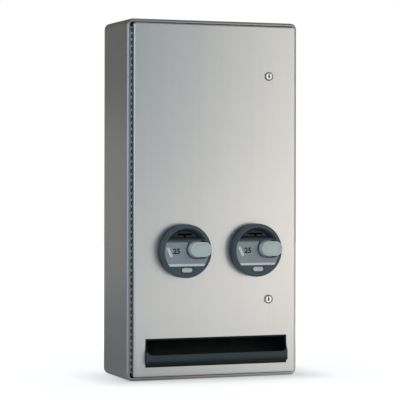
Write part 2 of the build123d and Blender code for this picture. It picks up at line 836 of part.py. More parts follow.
def vend_knob(x):
    """Push knob: hollow oval cap with a retaining flange and a stem out of the case's back."""
    middle = (x + knob_centre_x, knob_centre_z)
    cap = forward(stadium(knob_width, knob_height), knob_rear_y, knob_front_y, *middle)
    cap = fillet(front_face_edges(cap), knob_edge_round)
    dish = stadium(knob_width - 2 * knob_dish_inset, knob_height - 2 * knob_dish_inset)
    dish_plane = facing_front(knob_front_y, *middle)
    cap -= extrude(dish_plane * dish, amount=-knob_dish_depth, taper=knob_dish_draft)
    reach_cut = Pos(knob_flange_reach + knob_width, knob_rise) * Rectangle(2 * knob_width, 2 * knob_width)
    flange = pocket_sketch(knob_flange_extra) - reach_cut
    cap += forward(flange, knob_rear_y + knob_flange_thickness, knob_rear_y, x, dial_height)
    hollow = stadium(knob_width - 2 * knob_wall, knob_height - 2 * knob_wall)
    hollow_front = knob_front_y + knob_dish_depth + knob_wall
    cap -= forward(hollow, knob_rear_y + overrun, hollow_front, *middle)
    nose_front = stem_end_y - stem_nose_length
    side = 2 * stem_half_width
    cap += forward(Rectangle(side, side), nose_front, hollow_front, *middle)
    return cap + forward(Circle(stem_nose_radius), stem_end_y, nose_front, *middle)


def knob_spring(x):
    """Space of the coil spring round the stem, from the cap's inner face to the case's back."""
    inner = sqrt(2) * stem_half_width + spring_gap
    tube = Circle(inner + knob_spring_wire) - Circle(inner)
    front = knob_front_y + knob_dish_depth + knob_wall + spring_gap
    return forward(tube, case_inner_y - spring_gap, front, x + knob_centre_x, knob_centre_z)


def return_button(x):
    """Coin return button with a flange behind the dial's front wall."""
    front = face_y - button_proud
    z = dial_height + button_rise
    button = forward(stadium(button_width, button_height), front + button_length, front, x, z)
    button = fillet(front_face_edges(button), button_edge_round)
    flange_front = face_y + dial_wall + face_gap
    flange = stadium(button_width + 2 * button_flange, button_height + 2 * button_flange)
    return button + forward(flange, flange_front + button_flange_thickness, flange_front, x, z)


def return_spring(x):
    """Space of the button's coil spring, between the button and the coin duct."""
    tube = Circle(return_spring_radius) - Circle(return_spring_radius - return_spring_wall)
    front = face_y - button_proud + button_length + spring_gap
    return forward(tube, duct_front_y - spring_gap, front, x, dial_height + button_rise)


def mechanism_case(x):
    """Box behind the door that clamps the dial through the door's sheet and guides the stem."""
    z = dial_height
    size = (2 * case_half_width, 2 * case_half_height)
    inner_size = (size[0] - 2 * case_wall, size[1] - 2 * case_wall)
    through = (case_back_y + overrun, case_inner_y - overrun)
    case = forward(Rectangle(*size), case_back_y, case_front_y, x, z)
    case -= forward(Rectangle(*inner_size), case_inner_y, case_front_y - overrun, x, z)
    side = 2 * (stem_half_width + stem_clearance)
    case -= forward(Rectangle(side, side), *through, x + knob_centre_x, knob_centre_z)
    screw_hole = Circle(screw_radius + screw_clearance)
    for dx, dz in boss_places():
        case -= forward(screw_hole, *through, x + dx, z + dz)
    duct_half = duct_half_width + screw_clearance
    return case - block(
        (x - duct_half, x + duct_half),
        (duct_front_y - screw_clearance, duct_front_y + duct_depth + screw_clearance),
        (z - case_half_height - overrun, z - case_half_height + case_wall + overrun),
    )


def mechanism_screws():
    """Screws through the cases' backs into the dials' bosses."""
    screws = []
    for x in dial_places.values():
        for dx, dz in boss_places():
            place = (x + dx, dial_height + dz)
            under_head = case_back_y + face_gap
            head = forward(Circle(screw_head_radius), under_head + screw_head_height, under_head, *place)
            shank = forward(Circle(screw_radius), under_head, front_y + dial_spigot_depth, *place)
            screws.append(head + shank)
    return Compound(screws)


def coin_duct(x):
    """Upright duct that drops the coins from the slot to the coin box."""
    z = dial_height
    half = duct_half_width
    back = duct_front_y + duct_depth
    low = z - case_half_height - duct_exit
    high = z + duct_top
    duct = block((x - half, x + half), (duct_front_y, back), (low, high))
    funnel_front = face_y + scoop_depth + scoop_backing + face_gap
    duct += block((x - half, x + half), (funnel_front, duct_front_y), (z + funnel_bottom, high))
    inside = (x - half + duct_wall, x + half - duct_wall)
    duct -= block(inside, (duct_front_y + duct_wall, back - duct_wall), (low - overrun, high - duct_wall))
    return duct - block(
        inside,
        (funnel_front - overrun, back - duct_wall),
        (z + funnel_bottom + duct_wall, high - duct_wall),
    )


def coin_box_spans(x):
    """The coin box's outer spans along X, Y and Z."""
    top = dial_height - case_half_height - duct_exit - coin_box_drop
    bottom = slot_top + tray_flange + coin_box_tray_room
    front = door_inner_y + face_gap + cradle_sheet + cradle_gap
    return (x - coin_box_left, x + coin_box_right), (front, front + coin_box_depth), (bottom, top)


def coin_box(x):
    """Open-topped coin box that lifts out of its cradle."""
    xs, ys, zs = coin_box_spans(x)
    wall = coin_box_wall
    box = block(xs, ys, zs)
    return box - block(
        (xs[0] + wall, xs[1] - wall), (ys[0] + wall, ys[1] - wall), (zs[0] + wall, zs[1] + overrun)
    )


def coin_box_cradle(x):
    """Folded cradle on the door's inner face that the coin box stands in."""
    xs, ys, zs = coin_box_spans(x)
    sheet = cradle_sheet
    gap = cradle_gap
    ledge_top = zs[0] - face_gap
    side_top = zs[0] + cradle_side_height
    cradle_xs = (xs[0] - gap - sheet, xs[1] + gap + sheet)
    cradle_ys = (door_inner_y + face_gap, ys[1] + gap + sheet)
    cradle = block(cradle_xs, cradle_ys, (ledge_top - sheet, side_top))
    inner_xs = (xs[0] - gap, xs[1] + gap)
    cradle -= block(inner_xs, (ys[0] - gap, ys[1] + gap), (ledge_top, side_top + overrun))
    cradle -= block(
        inner_xs,
        (ys[1] - overrun, ys[1] + gap + sheet + overrun),
        (zs[0] + cradle_ledge_lip, side_top + overrun),
    )
    back_plate = block(cradle_xs, (cradle_ys[0], cradle_ys[0] + sheet), (ledge_top - sheet, zs[1]))
    return cradle + back_plate


def lock_body(z):
    """Flanged barrel of a cam lock."""
    flange_back = front_y - face_gap
    flange = forward(Circle(lock_flange_radius), flange_back, front_y - lock_flange_thickness, lock_x, z)
    flange = chamfer(front_face_edges(flange), lock_flange_chamfer)
    barrel = forward(Circle(lock_barrel_radius), cam_front_y - spring_gap, flange_back, lock_x, z)
    bore_circle = Circle(lock_plug_radius + lock_plug_clearance)
    return flange + barrel - forward(bore_circle, cam_front_y + overrun, front_y - overrun, lock_x, z)


def lock_plug(z):
    """Turning plug with its key slot at the front and its tail through the cam."""
    front = front_y - lock_flange_thickness + lock_plug_recess
    plug = forward(Circle(lock_plug_radius), cam_front_y - face_gap, front, lock_x, z)
    tail_end = cam_front_y + lock_tail_length
    plug += forward(Circle(lock_tail_radius), tail_end, cam_front_y - face_gap, lock_x, z)
    slot = Rectangle(key_slot_width, key_slot_height)
    slot += Pos(0, -key_round_radius / 2) * Circle(key_round_radius)
    slot = Pos(0, key_slot_rise) * slot
    return plug - forward(slot, front + key_slot_depth, front - overrun, lock_x, z)


def lock_cam(z):
    """Flat cam that points down when unlocked and swings behind the strike."""
    arm = Pos(0, -cam_reach / 2) * SlotCenterToCenter(cam_reach, cam_width, rotation=90)
    arm -= Circle(lock_tail_radius + lock_plug_clearance)
    return forward(arm, cam_front_y + cam_sheet, cam_front_y, lock_x, z)


def lock_nuts():
    """Hexagon nuts that clamp the lock barrels to the door's sheet."""
    front = door_inner_y + face_gap
    back = front + lock_nut_thickness
    ring = RegularPolygon(lock_nut_radius, 6) - Circle(lock_barrel_radius + lock_plug_clearance)
    return Compound([forward(ring, back, front, lock_x, z) for z in lock_places.values()])


def build_nodes():
    """Every piece of the machine under its node name."""
    nodes = {
        "back_panel": back_panel(),
        "hinge_leaf_cabinet": hinge_leaf(-1, 0),
        "hinge_leaf_door": hinge_leaf(1, 1),
        "hinge_pin": hinge_pin(),
        "mounting_rail_upper": rail(upper_rail_z),
        "mounting_rail_lower": rail(lower_rail_z),
        "cabinet_screws": cabinet_screws(),
        "delivery_chute": delivery_chute(),
        "door_panel": door_panel(),
        "dispensing_tray": dispensing_tray(),
        "tray_nuts": tray_nuts(),
        "mechanism_screws": mechanism_screws(),
        "lock_nuts": lock_nuts(),
    }
    for name, wall in cabinet_walls().items():
        nodes[f"cabinet_{name}"] = wall
    for name, z in lock_places.items():
        nodes[f"strike_{name}"] = strike(z)
        nodes[f"lock_body_{name}"] = lock_body(z)
        nodes[f"lock_plug_{name}"] = lock_plug(z)
        nodes[f"lock_cam_{name}"] = lock_cam(z)
    for name, x in dial_places.items():
        nodes[f"magazine_{name}"] = magazine(x)
        nodes[f"follower_weight_{name}"] = follower_weight(x)
        nodes[f"vend_gate_{name}"] = gate(x)
        nodes[f"gate_pin_{name}"] = gate_pin(x)
        nodes[f"gate_spring_{name}"] = gate_spring(x)
        nodes[f"dial_housing_{name}"] = dial_housing(x)
        nodes[f"face_label_{name}"] = face_label(x)
        nodes[f"vend_knob_{name}"] = vend_knob(x)
        nodes[f"knob_spring_{name}"] = knob_spring(x)
        nodes[f"return_button_{name}"] = return_button(x)
        nodes[f"return_spring_{name}"] = return_spring(x)
        nodes[f"mechanism_case_{name}"] = mechanism_case(x)
        nodes[f"coin_duct_{name}"] = coin_duct(x)
        nodes[f"coin_box_{name}"] = coin_box(x)
        nodes[f"coin_box_cradle_{name}"] = coin_box_cradle(x)
    return nodes


os.makedirs("parts", exist_ok=True)
for node, solid in build_nodes().items():
    export_step(solid, f"parts/{node}.step")
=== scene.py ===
"""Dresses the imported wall-mounted coin vending machine and sets its floor, light and camera.

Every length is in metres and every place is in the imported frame: +X to the viewer's right, +Y into the
wall, +Z up, with the origin at the middle of the wall bolts.
"""

import json
import logging
import math
from dataclasses import dataclass
from enum import IntEnum
from functools import reduce

import bmesh
import bpy
import numpy as np
from mathutils import Matrix, Vector

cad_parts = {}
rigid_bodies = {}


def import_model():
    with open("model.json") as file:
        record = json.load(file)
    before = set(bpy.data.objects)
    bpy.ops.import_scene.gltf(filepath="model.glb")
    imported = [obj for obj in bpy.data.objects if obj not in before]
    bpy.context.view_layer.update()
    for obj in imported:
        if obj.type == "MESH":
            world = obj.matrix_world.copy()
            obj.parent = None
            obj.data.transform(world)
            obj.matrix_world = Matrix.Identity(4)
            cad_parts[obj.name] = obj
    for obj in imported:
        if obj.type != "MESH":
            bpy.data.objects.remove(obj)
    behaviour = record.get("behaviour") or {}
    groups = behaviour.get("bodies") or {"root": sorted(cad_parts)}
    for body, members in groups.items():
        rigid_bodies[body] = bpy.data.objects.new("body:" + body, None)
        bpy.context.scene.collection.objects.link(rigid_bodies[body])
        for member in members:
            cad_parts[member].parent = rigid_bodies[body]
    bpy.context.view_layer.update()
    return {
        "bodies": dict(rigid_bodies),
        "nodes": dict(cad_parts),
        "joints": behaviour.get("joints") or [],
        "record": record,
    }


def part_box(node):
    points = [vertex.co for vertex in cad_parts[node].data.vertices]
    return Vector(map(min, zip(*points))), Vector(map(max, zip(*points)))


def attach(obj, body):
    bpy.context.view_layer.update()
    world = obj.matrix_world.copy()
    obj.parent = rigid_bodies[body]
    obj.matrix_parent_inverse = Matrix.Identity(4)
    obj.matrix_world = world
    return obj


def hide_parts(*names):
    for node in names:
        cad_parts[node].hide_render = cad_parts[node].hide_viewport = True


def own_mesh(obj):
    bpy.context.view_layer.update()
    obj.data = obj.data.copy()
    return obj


LOG = logging.getLogger("vending_machine")

Colour = tuple[float, float, float]
Point = tuple[float, float, float]
Span = tuple[float, float]
Piece = bpy.types.Object
Node = bpy.types.Node
Socket = bpy.types.NodeSocket
Tree = bpy.types.NodeTree
Material = bpy.types.Material


# Surfaces and meshes


class Axis(IntEnum):
    """The frame's axes by their numbers."""

    X = 0
    Y = 1
    Z = 2


# Angles in degrees above which an edge stays sharp
SHARP_ANGLE = 32.0
COIL_SHARP_ANGLE = 60.0

# Steps along a coil for each turn, and points round its wire
COIL_STEPS = 20
WIRE_SIDES = 8

# Decimals of a metre that corners share where they are one point
MERGE_DIGITS = 7


def new_object(name: str, data: bpy.types.ID) -> Piece:
    """Put a mesh, lettering, a light or a camera into the scene and return its object."""
    piece = bpy.data.objects.new(name, data)
    bpy.context.scene.collection.objects.link(piece)
    return piece


def mesh_object(name: str, points: np.ndarray, faces: list[list[int]]) -> Piece:
    """Put points and faces into a new object that sits at the origin.

    Args:
        name: The piece's name.
        points: An (n, 3) array of places in the frame.
        faces: Lists of point numbers.

    Returns:
        The linked object.
    """
    mesh = bpy.data.meshes.new(name)
    mesh.from_pydata(points.tolist(), [], faces)
    mesh.validate()
    mesh.shade_smooth()
    mesh.set_sharp_from_angle(angle=math.radians(SHARP_ANGLE))
    mesh.update()
    return new_object(name, mesh)


def grid_faces(rows: int, columns: int, wrap: bool) -> np.ndarray:
    """Number the quads of a grid of points, row by row.

    Args:
        rows: The count of points along the first parameter.
        columns: The count of points along the second parameter.
        wrap: Whether the last column joins the first.

    Returns:
        An (n, 4) array of point numbers.
    """
    numbers = np.arange(rows * columns).reshape(rows, columns)
    if wrap:
        numbers = np.concatenate([numbers, numbers[:, :1]], axis=1)
    corners = (numbers[:-1, :-1], numbers[:-1, 1:], numbers[1:, 1:], numbers[1:, :-1])
    return np.stack(corners, axis=-1).reshape(-1, 4)


def outward(piece: Piece) -> Piece:
    """Turn a closed piece's faces outwards and return the piece."""
    work = bmesh.new()
    work.from_mesh(piece.data)
    bmesh.ops.recalc_face_normals(work, faces=work.faces)
    work.to_mesh(piece.data)
    work.free()
    return piece


def carried_outline(name: str, rings: np.ndarray) -> Piece:
    """Join a stack of outlines into one closed surface.

    The point at (i, j) is the j-th point of the i-th outline. Quads join each outline to the next, and each
    end of the stack gets a flat cap.

    Args:
        name: The piece's name.
        rings: An (outlines, points, 3) array.

    Returns:
        The linked object, with its faces pointing outwards.
    """
    count, around = rings.shape[:2]
    faces = grid_faces(count, around, wrap=True).tolist()
    faces.append(list(range(around)))
    faces.append(list(range((count - 1) * around, count * around)))
    return outward(mesh_object(name, rings.reshape(-1, 3), faces))


def coil(name: str, start: Point, end: Point, radius: float, wire: float, turns: float) -> Piece:
    """Wind a wire into a helix between two points.

    At share t of the way, the wire's centre lies on the axis point at t plus radius times the direction at
    angle 2 pi turns t. A circle of the wire's radius is carried along, in the plane of that direction and
    the axis.

    Args:
        name: The piece's name.
        start: The axis's first point.
        end: The axis's last point.
        radius: From the axis to the wire's centre.
        wire: The wire's own radius.
        turns: How many times the wire goes round.

    Returns:
        The linked object.
    """
    begin = np.array(start)
    axis = np.array(end) - begin
    length = np.linalg.norm(axis)
    axis = axis / length
    side = np.cross(axis, np.roll(np.abs(axis), 1))
    side = side / np.linalg.norm(side)
    across = np.cross(axis, side)
    share = np.linspace(0.0, 1.0, int(turns * COIL_STEPS) + 1)
    turn = 2 * np.pi * turns * share
    reach = np.cos(turn)[:, None] * side + np.sin(turn)[:, None] * across
    run = wire + share * (length - 2 * wire)
    centre = begin + run[:, None] * axis + radius * reach
    around = np.linspace(0.0, 2 * np.pi, WIRE_SIDES, endpoint=False)
    offset = np.cos(around)[None, :, None] * reach[:, None, :] + np.sin(around)[None, :, None] * axis
    piece = carried_outline(name, centre[:, None, :] + wire * offset)
    piece.data.set_sharp_from_angle(angle=math.radians(COIL_SHARP_ANGLE))
    return piece


def packed_triangles(source: Piece) -> np.ndarray:
    """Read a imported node's triangles as an (n, 3, 3) array of their corners."""
    mesh = source.data
    points = np.empty(len(mesh.vertices) * 3)
    mesh.vertices.foreach_get("co", points)
    mesh.calc_loop_triangles()
    corners = np.empty(len(mesh.loop_triangles) * 3, dtype=np.int64)
    mesh.loop_triangles.foreach_get("vertices", corners)
    return points.reshape(-1, 3)[corners].reshape(-1, 3, 3)


def merged_object(name: str, triangles: np.ndarray) -> Piece:
    """Join loose triangles into one merged, smoothly shaded surface.

    Points that agree to a tenth of a micrometre become one, and triangles that lose a corner are dropped.

    Args:
        name: The new piece's name.
        triangles: An (n, 3, 3) array of corners.

    Returns:
        The linked piece.
    """
    rounded = np.round(triangles.reshape(-1, 3), MERGE_DIGITS)
    merged, place = np.unique(rounded, axis=0, return_inverse=True)
    numbers = place.reshape(-1, 3)
    whole = (
        (numbers[:, 0] != numbers[:, 1])
        & (numbers[:, 1] != numbers[:, 2])
        & (numbers[:, 2] != numbers[:, 0])
    )
    return mesh_object(name, merged, numbers[whole].tolist())


def even_shading(piece: Piece) -> None:
    """Let each corner's normal follow the largest faces that meet there, so that flats stay flat."""
    evened = piece.modifiers.new("even_shading", "WEIGHTED_NORMAL")
    evened.keep_sharp = True


def seams_closed(triangles: np.ndarray, heights: tuple[float, ...], gap: float) -> np.ndarray:
    """Close level seams between pieces, as a weld that is ground flush does.

    Each corner within a gap's reach of a seam moves onto it, and the triangles that then lie in the seam,
    which were the two cut faces, are left out.

    Args:
        triangles: An (n, 3, 3) array of corners.
        heights: The seams' heights.
        gap: The width of a seam.

    Returns:
        An array of the same kind without the cut faces.
    """
    closed = triangles.copy()
    for height in heights:
        near = np.abs(closed[:, :, Axis.Z] - height) < gap
        closed[:, :, Axis.Z] = np.where(near, height, closed[:, :, Axis.Z])
        flat = np.all(closed[:, :, Axis.Z] == height, axis=1)
        closed = closed[~flat]
    return closed


# Shader building

# The whole range of a mask, and the middle range that noise mostly keeps to
FULL: Span = (0.0, 1.0)
NOISE_SPAN: Span = (0.3, 0.7)
BEVEL_SAMPLES = 6

# The numbers of a Mix node's colour inputs and colour output
COLOUR_INPUTS = (6, 7)
COLOUR_OUTPUT = 2


class Sheet:
    """A node tree with short calls for adding and joining nodes."""

    def __init__(self, tree: Tree) -> None:
        """Keep the tree that the nodes go into."""
        self.tree = tree

    def add(self, kind: str, *ordered: object, settings: dict | None = None, **named: object) -> Node:
        """Add a node, set its properties, and fill or join its inputs.

        Args:
            kind: The node's type name.
            *ordered: Values, sockets or nodes for the first inputs, in their order.
            settings: Property values of the node itself.
            **named: The same by input name, with underscores for spaces.

        Returns:
            The new node.
        """
        node = self.tree.nodes.new(kind)
        for key, value in (settings or {}).items():
            setattr(node, key, value)
        for number, value in enumerate(ordered):
            self.feed(node.inputs[number], value)
        for key, value in named.items():
            self.feed(node.inputs[key.replace("_", " ")], value)
        return node

    def feed(self, socket: Socket, value: object) -> None:
        """Join a socket or a node's first output to an input, or set the input's own value."""
        if isinstance(value, Node):
            value = value.outputs[0]
        if isinstance(value, Socket):
            self.tree.links.new(value, socket)
        elif socket.type == "RGBA":
            socket.default_value = (*value, 1.0)
        else:
            socket.default_value = value

    def math(self, operation: str, first: object, second: object = 0.0) -> Socket:
        """Add a math node and return its result."""
        return self.add("ShaderNodeMath", first, second, settings={"operation": operation}).outputs[0]

    def product(self, *values: object) -> Socket:
        """Multiply several values with each other."""
        return reduce(lambda result, value: self.math("MULTIPLY", result, value), values)

    def vector(self, operation: str, *values: object, **named: object) -> Node:
        """Add a vector math node and return it, because some operations put out a number."""
        return self.add("ShaderNodeVectorMath", *values, settings={"operation": operation}, **named)

    def ramp(self, value: object, span: Span, to: tuple[object, object] = FULL) -> Socket:
        """Map a value from one range to another, without overshoot."""
        return self.add("ShaderNodeMapRange", value, *span, *to, settings={"clamp": True}).outputs[0]

    def mix(self, share: object, first: object, second: object) -> Socket:
        """Mix two colours by a share."""
        node = self.add("ShaderNodeMix", settings={"data_type": "RGBA"}, Factor=share)
        self.feed(node.inputs[COLOUR_INPUTS[0]], first)
        self.feed(node.inputs[COLOUR_INPUTS[1]], second)
        return node.outputs[COLOUR_OUTPUT]

    def parts(self, source: str = "Object") -> dict[str, Socket]:
        """Add the nodes that split a point's place, and return its X, Y and Z by name."""
        place = self.add("ShaderNodeTexCoord")
        return dict(self.add("ShaderNodeSeparateXYZ", place.outputs[source]).outputs.items())

    def noise(self, **inputs: object) -> Node:
        """Add noise over the places in the frame."""
        place = self.add("ShaderNodeTexCoord")
        return self.add("ShaderNodeTexNoise", place.outputs["Object"], **inputs)

    def rounded(self, radius: object) -> Node:
        """Add the normal that the surface has where its edges are rounded."""
        return self.add("ShaderNodeBevel", radius, settings={"samples": BEVEL_SAMPLES})

    def seen_by_camera(self, path: Node) -> Socket:
        """Mask the rays that come straight from the camera, also through glass."""
        return self.math("MAXIMUM", path.outputs["Is Camera Ray"], path.outputs["Is Transmission Ray"])


def shaded(colour: Colour, share: float) -> Colour:
    """Scale a colour's three parts by one share."""
    return (colour[0] * share, colour[1] * share, colour[2] * share)


def swung(middle: float, swing: float) -> Span:
    """Give the span that reaches as far below a middle as above it."""
    return (middle - swing, middle + swing)


class Effects:
    """The shader node groups that more than one finish uses."""

    def __init__(self) -> None:
        """Build each group once."""
        self.groups = {
            "wear": self.edge_wear(),
            "grain": self.stretched_grain(),
            "clouds": self.soft_clouds(),
            "dust": self.settled_dust(),
        }

    def new_group(self, name: str, inputs: dict[str, float]) -> tuple[Sheet, dict[str, Socket]]:
        """Start a group with number inputs and one number output.

        Args:
            name: The group's name.
            inputs: The input names with their default values.

        Returns:
            The group's sheet and its inputs by name.
        """
        tree = bpy.data.node_groups.new(name, "ShaderNodeTree")
        for key, value in inputs.items():
            socket = tree.interface.new_socket(key, in_out="INPUT", socket_type="NodeSocketFloat")
            socket.default_value = value
        tree.interface.new_socket("Mask", in_out="OUTPUT", socket_type="NodeSocketFloat")
        sheet = Sheet(tree)
        return sheet, dict(sheet.add("NodeGroupInput").outputs.items())

    def close_group(self, sheet: Sheet, result: object) -> Tree:
        """Join the result to the group's output and return the group."""
        sheet.add("NodeGroupOutput", result)
        return sheet.tree

    def edge_wear(self) -> Tree:
        """Mask that grows where the surface turns sharply, broken up by noise."""
        defaults = {"Radius": 0.001, "Amount": 1.0, "Breakup": 300.0}
        sheet, given = self.new_group("edge_wear", defaults)
        rounded = sheet.rounded(given["Radius"])
        flat = sheet.add("ShaderNodeNewGeometry")
        agree = sheet.vector("DOT_PRODUCT", rounded, flat.outputs["Normal"])
        turned = sheet.math("SUBTRACT", 1.0, agree.outputs["Value"])
        patchy = sheet.ramp(sheet.noise(Scale=given["Breakup"], Detail=4.0), (0.35, 0.65), to=(0.2, 1.0))
        mask = sheet.product(turned, given["Amount"], patchy)
        return self.close_group(sheet, sheet.ramp(mask, FULL))

    def stretched_grain(self) -> Tree:
        """Fine noise whose scale is set along each axis, for brushing, rolling marks and moulded grain."""
        defaults = {"Across X": 500.0, "Across Y": 500.0, "Across Z": 500.0, "Detail": 3.0}
        sheet, given = self.new_group("stretched_grain", defaults)
        place = sheet.add("ShaderNodeTexCoord")
        scales = sheet.add("ShaderNodeCombineXYZ", given["Across X"], given["Across Y"], given["Across Z"])
        stretched = sheet.vector("MULTIPLY", place.outputs["Object"], scales)
        noise = sheet.add("ShaderNodeTexNoise", stretched, Scale=1.0, Detail=given["Detail"])
        return self.close_group(sheet, noise)

    def soft_clouds(self) -> Tree:
        """Broad soft patches, for handling marks and uneven paint."""
        sheet, given = self.new_group("soft_clouds", {"Scale": 8.0, "Contrast": 1.0})
        noise = sheet.noise(Scale=given["Scale"], Detail=5.0, Roughness=0.55, Distortion=0.3)
        centred = sheet.product(sheet.math("SUBTRACT", noise, 0.5), given["Contrast"])
        return self.close_group(sheet, sheet.ramp(sheet.math("ADD", centred, 0.5), FULL))

    def settled_dust(self) -> Tree:
        """Mask of faces that look up, broken up by noise, where dust lies."""
        sheet, given = self.new_group("settled_dust", {"Amount": 0.5})
        surface = sheet.add("ShaderNodeNewGeometry")
        normal = sheet.add("ShaderNodeSeparateXYZ", surface.outputs["Normal"])
        facing_up = sheet.ramp(normal.outputs["Z"], (0.35, 0.95))
        patchy = sheet.ramp(sheet.noise(Scale=60.0, Detail=6.0), (0.4, 0.7), to=(0.3, 1.0))
        return self.close_group(sheet, sheet.product(facing_up, patchy, given["Amount"]))


# Finishes


class Surface:
    """A new material with its shader and a sheet to build on."""

    def __init__(self, name: str, effects: Effects, metallic: float = 0.0) -> None:
        """Start a material whose shader is metal, dielectric or a share of both."""
        self.effects = effects
        self.material = bpy.data.materials.new(name)
        self.material.use_nodes = True
        self.sheet = Sheet(self.material.node_tree)
        self.shader = self.material.node_tree.nodes["Principled BSDF"]
        self.set(Metallic=metallic)

    def effect(self, name: str, **inputs: object) -> Socket:
        """Place an effect's group with its own values and return its output."""
        settings = {"node_tree": self.effects.groups[name]}
        return self.sheet.add("ShaderNodeGroup", settings=settings, **inputs).outputs[0]

    def grain(self, scales: Point, detail: float) -> Socket:
        """Place the stretched grain with its scales along X, Y and Z."""
        x, y, z = scales
        return self.effect("grain", Across_X=x, Across_Y=y, Across_Z=z, Detail=detail)

    def set(self, **values: object) -> None:
        """Set or join the shader's inputs by name."""
        for key, value in values.items():
            self.sheet.feed(self.shader.inputs[key.replace("_", " ")], value)


@dataclass(frozen=True)
class Finish:
    """Material with a fine grain, which the kinds of finish build on.

    Its colour varies between two shades of itself, and its roughness swings about its middle with the
    grain. Worn edges have a shade of the colour, or worn_colour if it is given. The values here are those
    of bare metal.
    """

    name: str
    colour: Colour
    roughness: float
    roughness_swing: float = 0.07
    metallic: float = 1.0
    sheen_level: float = 0.5
    shades: Span = (0.8, 1.0)
    cloud_scale: float = 18.0
    cloud_contrast: float = 2.0
    grain_scales: Point = (1400.0, 1400.0, 1400.0)
    grain_detail: float = 3.0
    grain_depth: float = 0.00002
    grain_strength: float = 0.4
    rounding: float = 0.0003
    wear_radius: float = 0.0006
    wear_amount: float = 1.0
    wear_breakup: float = 600.0
    worn_shade: float = 1.15
    worn_colour: Colour | None = None

    def material(self, effects: Effects) -> Material:
        """Build the material."""
        surface = Surface(self.name, effects, self.metallic)
        clouds = surface.effect("clouds", Scale=self.cloud_scale, Contrast=self.cloud_contrast)
        grain = surface.grain(self.grain_scales, self.grain_detail)
        self.paint(surface, clouds)
        relief = surface.sheet.add(
            "ShaderNodeBump",
            Strength=self.grain_strength,
            Distance=self.grain_depth,
            Height=grain,
            Normal=surface.sheet.rounded(self.rounding),
        )
        gloss = self.gloss(surface.sheet, grain, clouds)
        surface.set(Roughness=gloss, Specular_IOR_Level=self.sheen_level, Normal=relief)
        return surface.material

    def paint(self, surface: Surface, clouds: Socket) -> None:
        """Set the colour, and what else a kind of finish has of its own."""
        surface.set(Base_Color=self.worn(surface, self.mottled(surface, clouds)))

    def mottled(self, surface: Surface, clouds: Socket) -> Socket:
        """Let the colour vary between its two shades."""
        dark, light = (shaded(self.colour, shade) for shade in self.shades)
        return surface.sheet.mix(clouds, dark, light)

    def worn(self, surface: Surface, colour: object) -> Socket:
        """Mix a colour with the worn one where edges are."""
        wear = surface.effect(
            "wear", Radius=self.wear_radius, Amount=self.wear_amount, Breakup=self.wear_breakup
        )
        return surface.sheet.mix(wear, colour, self.worn_colour or shaded(self.colour, self.worn_shade))

    def gloss(self, sheet: Sheet, grain: Socket, clouds: Socket) -> Socket:
        """Let the roughness swing about its middle."""
        return sheet.ramp(grain, NOISE_SPAN, swung(self.roughness, self.roughness_swing))


@dataclass(frozen=True)
class SatinSteel(Finish):
    """Stainless sheet polished with an upright grain, so that its reflections spread sideways."""

    roughness: float = 0.34
    roughness_swing: float = 0.05
    shades: Span = (0.98, 1.02)
    cloud_scale: float = 4.0
    cloud_contrast: float = 1.4
    grain_scales: Point = (2400.0, 2400.0, 14.0)
    grain_depth: float = 0.000015
    grain_strength: float = 0.3
    rounding: float = 0.0005
    wear_radius: float = 0.0009
    wear_amount: float = 0.4
    wear_breakup: float = 260.0
    worn_shade: float = 1.25
    stretch: float = 0.45
    streak_scales: Point = (130.0, 130.0, 1.6)
    streak_share: float = 0.013

    def paint(self, surface: Surface, clouds: Socket) -> None:
        """Set the colour with its upright streaks, and the direction of the polish."""
        sheet = surface.sheet
        streaks = surface.grain(self.streak_scales, detail=4.0)
        streaked = sheet.ramp(streaks, NOISE_SPAN, swung(1.0, self.streak_share))
        tinted = sheet.vector("SCALE", self.mottled(surface, clouds), Scale=streaked)
        around = sheet.add("ShaderNodeTangent", settings={"direction_type": "RADIAL", "axis": "Z"})
        colour = self.worn(surface, tinted)
        surface.set(Base_Color=colour, Anisotropic=self.stretch, Tangent=around)


@dataclass(frozen=True)
class Moulding(Finish):
    """Injection-moulded plastic with a fine spark grain, polished a little where hands touch it.

    Over the depths of painted_shade_depths it darkens as painted shade, and behind them it keeps only
    painted_shade_share of its colour. It darkens as much down the heights of painted_shade_heights, a
    painted shade towards the foot. The spans given here lie outside the piece.
    """

    roughness_swing: float = 0.06
    metallic: float = 0.0
    shades: Span = (0.9, 1.08)
    cloud_scale: float = 25.0
    cloud_contrast: float = 1.5
    grain_scales: Point = (1800.0, 1800.0, 1800.0)
    grain_detail: float = 2.0
    grain_depth: float = 0.00004
    grain_strength: float = 0.3
    rounding: float = 0.00035
    wear_radius: float = 0.0008
    wear_amount: float = 0.8
    wear_breakup: float = 500.0
    worn_shade: float = 1.35
    dust_amount: float = 0.1
    dust_colour: Colour = (0.3, 0.29, 0.28)
    painted_shade_depths: Span = (1.0, 2.0)
    painted_shade_heights: Span = (-2.0, -1.0)
    painted_shade_share: float = 1.0

    def paint(self, surface: Surface, clouds: Socket) -> None:
        """Set the colour with its dust and its painted shade."""
        sheet = surface.sheet
        plastic = self.worn(surface, self.mottled(surface, clouds))
        dust = surface.effect("dust", Amount=self.dust_amount)
        plastic = sheet.mix(dust, plastic, self.dust_colour)
        # Painted shade: darker deep inside the piece and towards its foot
        parts = sheet.parts()
        inner = sheet.ramp(parts["Y"], self.painted_shade_depths)
        low = sheet.ramp(parts["Z"], self.painted_shade_heights, to=(1.0, 0.0))
        dark = sheet.math("MAXIMUM", inner, low)
        surface.set(Base_Color=sheet.mix(dark, plastic, shaded(self.colour, self.painted_shade_share)))

    def gloss(self, sheet: Sheet, grain: Socket, clouds: Socket) -> Socket:
        """Let the roughness swing with the clouds."""
        return sheet.ramp(clouds, FULL, swung(self.roughness, self.roughness_swing))


